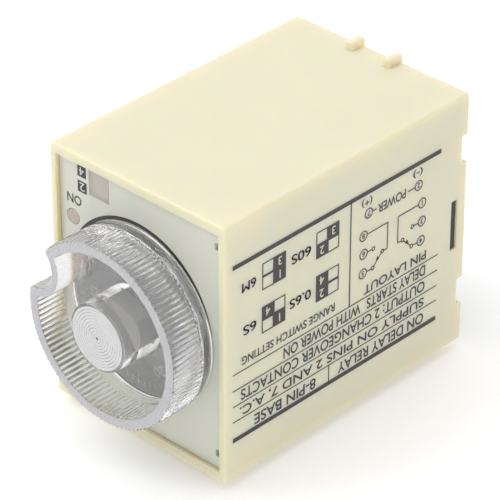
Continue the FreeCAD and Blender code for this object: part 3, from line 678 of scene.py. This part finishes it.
black_ink = ink("black_ink", (0.036, 0.031, 0.028))
pale_ink = ink("pale_ink", (0.70, 0.70, 0.66))
cream_ink = ink("cream_ink", (0.72, 0.68, 0.52))
red_ink = ink("red_ink", (0.75, 0.03, 0.05))
print("ink stands", ink_rise, "mm out of its surface")


# %% Reading frames
def reading_frame(right, up, origin):
    """Maps right, up and out on a printed surface to the scene."""
    right, up = Vector(right), Vector(up)
    out = right.cross(up)
    columns = Matrix((right, up, out)).transposed().to_4x4()
    return Matrix.Translation(Vector(origin) * mm) @ columns @ Matrix.Scale(mm, 4)


side_print = reading_frame((0, -1, 0), (0, 0, -1), (side_x, 0, 0))
panel_print = reading_frame((-1, 0, 0), (0, 0, -1), (0, panel_y, 0))
scale_print = reading_frame((-1, 0, 0), (0, 0, -1), (dial_x, scale_y, dial_z))
over_print = Matrix.Translation((0, 0, ink_rise))
print("the side's print starts at", [round(v / mm, 2) for v in side_print.translation])


# %% Outlines of marks
def circle(u, v, radius, steps=48):
    """Points round a circle."""
    angles = [2 * math.pi * i / steps for i in range(steps)]
    return [(u + radius * math.cos(a), v + radius * math.sin(a)) for a in angles]


def rectangle(u0, v0, u1, v1):
    """The corners of an upright box."""
    return [(u0, v0), (u1, v0), (u1, v1), (u0, v1)]


def bar(start, end, width):
    """The outline of a straight line of a width."""
    start, end = Vector(start), Vector(end)
    side = (end - start).orthogonal().normalized() * width / 2
    return [tuple(p) for p in (start - side, end - side, end + side, start + side)]


thin_line = bar((0, 0), (2, 0), 0.2)
print("a line 2 mm long and 0.2 mm wide:", [(round(u, 1), round(v, 1)) for u, v in thin_line])


# %% Marks as thin solids
def add_area(shape, outline):
    """A filled mark."""
    low = [shape.verts.new((u, v, -ink_bed)) for u, v in outline]
    high = [shape.verts.new((u, v, ink_rise)) for u, v in outline]
    count = len(outline)
    shape.faces.new(high)
    shape.faces.new(low[::-1])
    for i in range(count):
        j = (i + 1) % count
        shape.faces.new((low[i], low[j], high[j], high[i]))


def add_band(shape, outer, inner):
    """A mark with an open middle, such as a ring or a frame."""
    corners = ((outer, -ink_bed), (outer, ink_rise), (inner, ink_rise), (inner, -ink_bed))
    loops = [[shape.verts.new((u, v, w)) for u, v in outline] for outline, w in corners]
    count = len(outer)
    for a, b in zip(loops, loops[1:] + loops[:1]):
        for i in range(count):
            j = (i + 1) % count
            shape.faces.new((a[i], a[j], b[j], b[i]))


print("marks are", round(ink_rise + ink_bed, 3), "mm thick and start just inside their surface")

# %% [markdown]
# Lettering comes from Blender's own font. A text object is made a mesh, is stretched to fill a box, and
# is then removed. A small offset makes the strokes as heavy as printed ones.

# %% Lettering
upright = Matrix.Identity(4)
stroke_weight = 0.012
merge_distance = 1e-5


def add_words(shape, words, box, turned=upright, stretch=True, weight=stroke_weight):
    """Lettering that fills a box, turned about the origin. Unstretched, it keeps its own width."""
    curve = bpy.data.curves.new("lettering", "FONT")
    curve.body = words
    curve.offset = weight
    curve.extrude = (ink_rise + ink_bed) / 2
    holder = bpy.data.objects.new("lettering", curve)
    scene.collection.objects.link(holder)
    bpy.context.view_layer.update()
    mesh = bpy.data.meshes.new_from_object(holder.evaluated_get(bpy.context.evaluated_depsgraph_get()))
    bpy.data.objects.remove(holder)
    places = np.array([v.co for v in mesh.vertices])
    low, high = places.min(0), places.max(0)
    u0, v0, u1, v1 = box
    tall = (v1 - v0) / (high[1] - low[1])
    wide = (u1 - u0) / (high[0] - low[0]) if stretch else tall
    middle = ((u0 + u1) / 2, (v0 + v1) / 2, (ink_rise - ink_bed) / 2)
    fit = Matrix.Translation(middle) @ Matrix.Diagonal((wide, tall, 1, 1))
    centred = Matrix.Translation((-(low[0] + high[0]) / 2, -(low[1] + high[1]) / 2, 0))
    mesh.transform(turned @ fit @ centred)
    shape.from_mesh(mesh)
    bpy.data.meshes.remove(mesh)


def printed(name, shape, surface, finish, body):
    """Puts a set of marks on their surface, as one piece that rides on a body."""
    bmesh.ops.remove_doubles(shape, verts=shape.verts, dist=merge_distance)
    bmesh.ops.recalc_face_normals(shape, faces=shape.faces)
    bmesh.ops.transform(shape, matrix=surface, verts=shape.verts)
    mesh = bpy.data.meshes.new(name)
    shape.to_mesh(mesh)
    shape.free()
    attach(place_object(name, mesh, finish), body)
    print(name, "has", len(mesh.polygons), "faces")


print("lettering is", stroke_weight, "of its size heavier than the font")

# %% [markdown]
# ### Front panel
# A black ring is printed round the dial. Above the lamp is the word ON. Two dark boxes with a pale
# digit stand beside the window and name the range that its levers select.

# %% Marks on the front panel
ring_outer = 16.8
ring_inner = 16.1
ring_place = (0.4, -0.2)
ring_points = 160
on_box = (13.62, -16.2, 16.97, -14.4)
dot_place = (-5.0, 23.2)
dot_radius = 0.12
dot_points = 12
range_boxes = {"4": (12.36, -22.45, 14.36, -20.3), "2": (12.26, -19.5, 14.36, -17.35)}
shape = bmesh.new()
add_band(shape, *[circle(*ring_place, radius, ring_points) for radius in (ring_outer, ring_inner)])
for box in range_boxes.values():
    add_area(shape, rectangle(*box))
add_words(shape, "ON", on_box)
add_area(shape, circle(*dot_place, dot_radius, dot_points))
printed("panel_marks", shape, panel_print, black_ink, "case")

# %% Pale digits in the dark boxes
digit_beside = 0.45
digit_above = 0.3
shape = bmesh.new()
for digit, (u0, v0, u1, v1) in range_boxes.items():
    box = (u0 + digit_beside, v0 + digit_above, u1 - digit_beside, v1 - digit_above)
    add_words(shape, digit, box, weight=0.0)
printed("range_digits", shape, panel_print @ over_print, pale_ink, "case")

# %% [markdown]
# ### Dial scale
# The scale's ticks repeat round the dial, so Geometry Nodes place them: one bar on each point of an
# arc, turned to look at the axis. A loop could do it too, but the tree has its sizes as named inputs,
# and draws any other scale once they are changed.


# %% Geometry Nodes tree for ticks round a dial
def tick_tree():
    """A tree of bars on an arc. Each named input is a size in millimetres or an angle in radians."""
    tree = bpy.data.node_groups.new("ticks_round_a_dial", "GeometryNodeTree")
    sizes = {"Radius": 12.0, "Length": 2.0, "Width": 0.2, "Height": 0.03, "First Angle": 0.0, "Step": 0.1}
    for name, value in sizes.items():
        socket = tree.interface.new_socket(name, in_out="INPUT", socket_type="NodeSocketFloat")
        socket.default_value = value
    count = tree.interface.new_socket("Count", in_out="INPUT", socket_type="NodeSocketInt")
    count.default_value = 10
    tree.interface.new_socket("Finish", in_out="INPUT", socket_type="NodeSocketMaterial")
    tree.interface.new_socket("Geometry", in_out="OUTPUT", socket_type="NodeSocketGeometry")
    kinds = {
        "inputs": "NodeGroupInput", "outputs": "NodeGroupOutput", "index": "GeometryNodeInputIndex",
        "angle": "ShaderNodeMath", "spot": "ShaderNodeCombineXYZ", "rotate": "ShaderNodeVectorRotate",
        "points": "GeometryNodePoints", "facing": "ShaderNodeCombineXYZ", "size": "ShaderNodeCombineXYZ",
        "tick": "GeometryNodeMeshCube", "copies": "GeometryNodeInstanceOnPoints",
        "real": "GeometryNodeRealizeInstances", "coat": "GeometryNodeSetMaterial",
    }
    nodes = {name: tree.nodes.new(kind) for name, kind in kinds.items()}
    nodes["angle"].operation = "MULTIPLY_ADD"
    nodes["rotate"].rotation_type = "Z_AXIS"
    wires = (
        ("inputs", "Count", "points", "Count"), ("index", "Index", "angle", 0),
        ("inputs", "Step", "angle", 1), ("inputs", "First Angle", "angle", 2),
        ("inputs", "Radius", "spot", "X"), ("spot", "Vector", "rotate", "Vector"),
        ("angle", "Value", "rotate", "Angle"), ("rotate", "Vector", "points", "Position"),
        ("angle", "Value", "facing", "Z"), ("inputs", "Length", "size", "X"),
        ("inputs", "Width", "size", "Y"), ("inputs", "Height", "size", "Z"),
        ("size", "Vector", "tick", "Size"), ("points", "Points", "copies", "Points"),
        ("tick", "Mesh", "copies", "Instance"), ("facing", "Vector", "copies", "Rotation"),
        ("copies", "Instances", "real", "Geometry"), ("real", "Geometry", "coat", "Geometry"),
        ("inputs", "Finish", "coat", "Material"), ("coat", "Geometry", "outputs", "Geometry"),
    )
    for source, output, target, entry in wires:
        tree.links.new(nodes[source].outputs[output], nodes[target].inputs[entry])
    return tree


ticks = tick_tree()
print("tick tree:", len(ticks.nodes), "nodes and", len(ticks.links), "links")


# %% Ticks and numbers of the scale
def grown(tree, values):
    """Runs a tree with its named inputs set, and gives the result as a plain mesh."""
    seed = bpy.data.objects.new("seed", bpy.data.meshes.new("seed"))
    scene.collection.objects.link(seed)
    modifier = seed.modifiers.new("tree", "NODES")
    modifier.node_group = tree
    for item in tree.interface.items_tree:
        if item.in_out == "INPUT" and item.name in values:
            modifier[item.identifier] = values[item.name]
    bpy.context.view_layer.update()
    mesh = bpy.data.meshes.new_from_object(seed.evaluated_get(bpy.context.evaluated_depsgraph_get()))
    bpy.data.objects.remove(seed)
    return mesh


scale_first = math.radians(240)
scale_sweep = math.radians(-300)
scale_top, number_step = 50, 10
tick_edge = 13.6
tick_rows = ((51, 1.1, 0.16), (11, 2.0, 0.26))
number_box = (-1.3, 9.2, 1.3, 11.2)
shape = bmesh.new()
for count, length, width in tick_rows:
    mesh = grown(ticks, {
        "Radius": tick_edge - length / 2, "Length": length, "Width": width, "Height": 2 * ink_rise,
        "First Angle": scale_first, "Step": scale_sweep / (count - 1), "Count": count, "Finish": pale_ink,
    })
    shape.from_mesh(mesh)
    bpy.data.meshes.remove(mesh)
for number in range(0, scale_top + 1, number_step):
    turned = scale_first + scale_sweep * number / scale_top - math.pi / 2
    add_words(shape, str(number), number_box, Matrix.Rotation(turned, 4, "Z"), stretch=False)
printed("scale_marks", shape, scale_print, pale_ink, "case")

# %% [markdown]
# ### Pointer
# A red line on the underside of the knob's floor runs outwards under the bite. It shows the time on the
# scale. It is printed on the knob, so it rides on the dial and turns with it.

# %% Red pointer line
pointer_inner = 12.0
pointer_outer = 15.3
pointer_width = 0.75
pointer_y = floor_back + 3 * ink_rise
shape = bmesh.new()
along = Vector((-math.cos(pointer_angle), -math.sin(pointer_angle)))
add_area(shape, bar(along * pointer_inner, along * pointer_outer, pointer_width))
pointer_print = reading_frame((-1, 0, 0), (0, 0, -1), (dial_x, pointer_y, dial_z))
printed("pointer_line", shape, pointer_print, red_ink, "dial")

# %% [markdown]
# ### Side label
# The side has a printed chart: two heavy rules, four rows of small words, a diagram of the pins'
# contacts and four little grids that show which range levers give which time. The words are plain ones
# of the trade. One ink prints all of it, so every mark goes into one piece.

# %% Rules of the label
label_left, label_right = 7.2, 58.1
label_low, label_high = -16.7, 17.1
row_edges = (13.43, 10.35, 7.22, 4.04)
divider_u, split_u = 29.85, 34.75
heavy, medium, light = 0.85, 0.26, 0.2
rules = [((label_left, v), (label_right, v), heavy) for v in (label_low, label_high)]
rules += [((label_left, v), (label_right, v), light) for v in row_edges]
rules.append(((divider_u, row_edges[3]), (divider_u, label_low), medium))
rules.append(((split_u, row_edges[0]), (split_u, label_high), light))
label = bmesh.new()
for start, end, width in rules:
    add_area(label, bar(start, end, width))
print("rules on the label:", len(rules))

# %% Words of the label
cap_height = 2.1
rows = (
    ("ON DELAY RELAY", 10.5, 32.5, 15.3),
    ("8-PIN BASE", 38.0, 53.0, 15.3),
    ("SUPPLY ON PINS 2 AND 7, A.C.", 10.5, 56.5, 11.9),
    ("OUTPUT: 2 CHANGEOVER CONTACTS", 10.4, 56.2, 8.8),
    ("DELAY STARTS", 10.4, 25.4, 5.6),
    ("WITH POWER ON", 27.0, 46.0, 5.6),
)
for words, u0, u1, middle in rows:
    add_words(label, words, (u0, middle - cap_height / 2, u1, middle + cap_height / 2))
add_words(label, "PIN LAYOUT", (10.3, 1.6, 26.2, 3.4))
add_words(label, "RANGE SWITCH SETTING", (33.5, 1.4, 56.0, 3.0))
print("rows of words:", len(rows))

# %% [markdown]
# Each range grid has four cells, one for each place of the two levers. Two of them are dark, with a
# cream digit that is printed over them later. A caption is printed twice, a little apart, which makes
# it heavier.

# %% Range grids of the label
cell_u, cell_v = 2.8, 2.58
grid_line = 0.22
caption_low, caption_high = 1.7, 3.5
bold_shift = 0.05
cells = {"1": (0, 1), "2": (1, 1), "3": (0, 0), "4": (1, 0)}
grids = (
    ("6M", "13", 45.6, -14.5, (52.7, 55.9)),
    ("60S", "32", 32.7, -14.45, (39.6, 44.2)),
    ("6S", "41", 45.65, -6.1, (52.6, 55.6)),
    ("0.6S", "42", 32.65, -5.95, (39.5, 44.6)),
)
dark_digits = []
for caption, dark, u0, v0, (left, right) in grids:
    for digit, (column, row) in cells.items():
        corner = (u0 + column * cell_u, v0 + row * cell_v)
        box = (*corner, corner[0] + cell_u, corner[1] + cell_v)
        if digit in dark:
            add_area(label, rectangle(*box))
            dark_digits.append((digit, box))
        else:
            inner = (box[0] + grid_line, box[1] + grid_line, box[2] - grid_line, box[3] - grid_line)
            add_band(label, rectangle(*box), rectangle(*inner))
    for shift in (-bold_shift, bold_shift):
        box = (left + shift, v0 + caption_low, right + shift, v0 + caption_high)
        add_words(label, caption, box, weight=0.0)
print("range grids:", len(grids), "with", len(dark_digits), "dark cells")

# %% [markdown]
# The pin diagram says which pins the contacts use. A ring with a digit stands for a pin, and a line for
# a wire. Each of the two changeover contacts has an arm that rests on one fixed contact and can swing
# to the other.

# %% Pins of the diagram
pins = {
    "2": (12.8, -12.3), "7": (25.4, -12.5), "1": (11.75, -8.4), "3": (11.7, -4.75), "4": (11.8, -0.9),
    "8": (26.6, -8.5), "6": (26.5, -4.9), "5": (26.6, -1.06),
}
pin_ring = 1.02
pin_digit = 0.52
wire = 0.22
power_wires = {"2": 15.6, "7": 23.5}
for digit, (u, v) in pins.items():
    add_band(label, circle(u, v, pin_ring), circle(u, v, pin_ring - wire))
    add_words(label, digit, (u, v - pin_digit, u, v + pin_digit), stretch=False)
add_words(label, "POWER", (16.1, -13.2, 23.1, -11.4))
add_words(label, "(-)", (11.9, -15.8, 14.3, -14.1))
add_words(label, "(+)", (24.6, -15.8, 27.2, -14.1))
for digit, wire_end in power_wires.items():
    u, v = pins[digit]
    add_area(label, bar((u + math.copysign(pin_ring, wire_end - u), v), (wire_end, v), wire))
print("pins in the diagram:", len(pins))

# %% Changeover contacts of the diagram
contact_ring = 0.45
contact_points = 24
contact_reach = 2.45
stem_reach = 6.1
pivot_reach = 1.25
pivot_drop = 0.35
arm_start, arm_middle, arm_end = 0.14, 0.5, 0.88
arrow_half, arrow_height = 0.4, 0.75


def changeover(common, opened, closed, outward):
    """A changeover contact between three pins, drawn from its common pin. The outward sign mirrors it."""
    stem = common[0] + outward * stem_reach
    fixed = [(pin[0] + outward * contact_reach, pin[1]) for pin in (opened, closed)]
    pivot = (stem - outward * pivot_reach, (opened[1] + closed[1]) / 2 - pivot_drop)
    wires = [
        ((common[0] + outward * pin_ring, common[1]), (stem, common[1])),
        ((stem, common[1]), (stem, pivot[1])),
        ((stem, pivot[1]), (pivot[0] + outward * contact_ring, pivot[1])),
    ]
    for pin, spot in zip((opened, closed), fixed):
        wires.append(((pin[0] + outward * pin_ring, pin[1]), (spot[0] - outward * contact_ring, pin[1])))
    for start, end in wires:
        add_area(label, bar(start, end, wire))
    for spot in (*fixed, pivot):
        add_band(label, *[circle(*spot, r, contact_points) for r in (contact_ring, contact_ring - wire)])
    arm = Vector(fixed[1]) - Vector(pivot)
    add_area(label, bar(Vector(pivot) + arm * arm_start, Vector(pivot) + arm * arm_end, wire))
    tip = Vector(pivot) + arm * arm_middle
    arrow = [(tip.x - arrow_half, tip.y), (tip.x + arrow_half, tip.y), (tip.x, tip.y - arrow_height)]
    add_area(label, arrow)


changeover(pins["1"], pins["3"], pins["4"], 1)
changeover(pins["8"], pins["6"], pins["5"], -1)
printed("label_print", label, side_print, black_ink, "case")

# %% Cream digits in the dark cells
cell_margin = 0.5
shape = bmesh.new()
for digit, (u0, v0, u1, v1) in dark_digits:
    box = (u0, v0 + cell_margin, u1, v1 - cell_margin)
    add_words(shape, digit, box, stretch=False, weight=0.0)
printed("label_digits", shape, side_print @ over_print, cream_ink, "case")

# %% [markdown]
# ### Pin numbers
# A plug base has the number of each pin moulded beside it, to be read while the socket is wired. The
# digits are as tall as the other small lettering and stand a little way out of the base, in the base's
# own plastic. They are made as print is, and then stretched outwards.

# %% Raised numbers on the plug base
base_inset = 1.5
digit_height = 1.8
digit_reach = 3.2
digit_rise = 6
outwards = Matrix.Diagonal((1, 1, digit_rise, 1))
base_print = reading_frame((1, 0, 0), (0, 0, -1), (0, -base_inset, 0)) @ outwards
shape = bmesh.new()
for digit in "12345678":
    low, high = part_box("pin_" + digit)
    pin = Vector((low.x + high.x, -low.z - high.z)) / 2 / mm
    u, v = pin + pin.normalized() * digit_reach
    add_words(shape, digit, (u, v - digit_height / 2, u, v + digit_height / 2), stretch=False)
printed("pin_numbers", shape, base_print, finishes["black_plastic"], "case")

# %% [markdown]
# ## Stage, light and camera
# The photograph has soft light from all round, brightest from above, on a white ground. The floor is
# one wide sheet of white paper. It glows a little, so that it stays white where the lamps fade.

# %% Floor
floor_half = 1.5
floor_drop = 0.0002
paper_white = (0.93, 0.93, 0.93, 1)
paper_glow = 0.2
paper_roughness = 0.9
floor_z = cad_low.z - floor_drop
floor_corners = rectangle(-floor_half, -floor_half, floor_half, floor_half)
floor_mesh = bpy.data.meshes.new("floor")
floor_mesh.from_pydata([(x, y, floor_z) for x, y in floor_corners], [], [(0, 1, 2, 3)])
floor_finish, _, floor_shader = new_finish("floor_paper")
floor_shader.inputs["Base Color"].default_value = paper_white
floor_shader.inputs["Roughness"].default_value = paper_roughness
floor_shader.inputs["Emission Color"].default_value = (1, 1, 1, 1)
floor_shader.inputs["Emission Strength"].default_value = paper_glow
floor = place_object("floor", floor_mesh, floor_finish)
print("floor at z", round(floor_z / mm, 2), "mm")

# %% [markdown]
# The world gives most of the light. It is dimmer on the side from which the photograph was taken, as a
# room is behind the photographer, and that dark side gives the clear knob its grey lines. Light is
# followed through many surfaces, because a ray may cross a dozen of them in the knob.

# %% World light
dim_side = (0.58, -0.62, 0.53)
fade_start, fade_end = -0.1, 0.8
bright, dim = 0.9, 0.5
bounces = 32
world = bpy.data.worlds.new("studio")
world.use_nodes = True
scene.world = world
studio = world.node_tree
background = studio.nodes["Background"]
background.inputs["Color"].default_value = (1.0, 1.0, 1.0, 1)
heading = studio.nodes.new("ShaderNodeTexCoord")
toward = studio.nodes.new("ShaderNodeVectorMath")
toward.operation = "DOT_PRODUCT"
toward.inputs[1].default_value = dim_side
studio.links.new(heading.outputs["Generated"], toward.inputs[0])
strength = between(studio, toward.outputs["Value"], bright, dim, fade_start, fade_end)
studio.links.new(strength, background.inputs["Strength"])
scene.view_settings.view_transform = "Standard"
paths = scene.cycles
paths.max_bounces = paths.glossy_bounces = paths.transmission_bounces = bounces
print("world light from", bright, "down to", dim)

# %% [markdown]
# Three wide lamps add the rest: one above, one at the front left and one at the right. A wide lamp has
# soft shadows, as a cloth-covered one in a studio has. All of them look at the middle of the timer.

# %% Lamps
aim = (cad_low + cad_high) / 2
lamps = {
    "top_softbox": ((-0.1, -0.1, 0.9), 0.8, 2.9),
    "key_softbox": ((-0.5, -0.55, 0.85), 0.45, 2.4),
    "right_softbox": ((0.85, -0.6, 0.35), 0.7, 0.8),
}
for name, (place, width, power) in lamps.items():
    lamp_data = bpy.data.lights.new(name, "AREA")
    lamp_data.size = width
    lamp_data.energy = power
    lamp = bpy.data.objects.new(name, lamp_data)
    lamp.location = place
    lamp.rotation_mode = "QUATERNION"
    lamp.rotation_quaternion = (aim - Vector(place)).to_track_quat("-Z", "Y")
    scene.collection.objects.link(lamp)
    print(name, "is", width, "m wide and has", power, "W")

# %% [markdown]
# The camera stands at the photograph's own angle. Its place, its turn and its lens were solved from the
# edges of the case in the photograph, so the edges of the solids lie on the edges in the picture.

# %% Camera
camera_azimuth = math.radians(43.443)
camera_elevation = math.radians(32.481)
camera_roll = math.radians(0.089)
camera_place = Vector((333.5, -385.1, 308.7)) * mm
focal_pixels = 3381.0
image_pixels = 500
sensor = 36.0
near_limit = 0.01
flat = math.cos(camera_elevation)
across, ahead = math.sin(camera_azimuth) * flat, math.cos(camera_azimuth) * flat
back = Vector((across, -ahead, math.sin(camera_elevation)))
camera_data = bpy.data.cameras.new("camera")
camera_data.sensor_width = sensor
camera_data.lens = focal_pixels / image_pixels * sensor
camera_data.clip_start = near_limit
camera = bpy.data.objects.new("camera", camera_data)
camera.location = camera_place
camera.rotation_mode = "QUATERNION"
level_turn = (-back).to_track_quat("-Z", "Y")
camera.rotation_quaternion = level_turn @ Matrix.Rotation(camera_roll, 3, "Z").to_quaternion()
scene.collection.objects.link(camera)
scene.camera = camera
print("camera lens", round(camera_data.lens, 1), "mm")
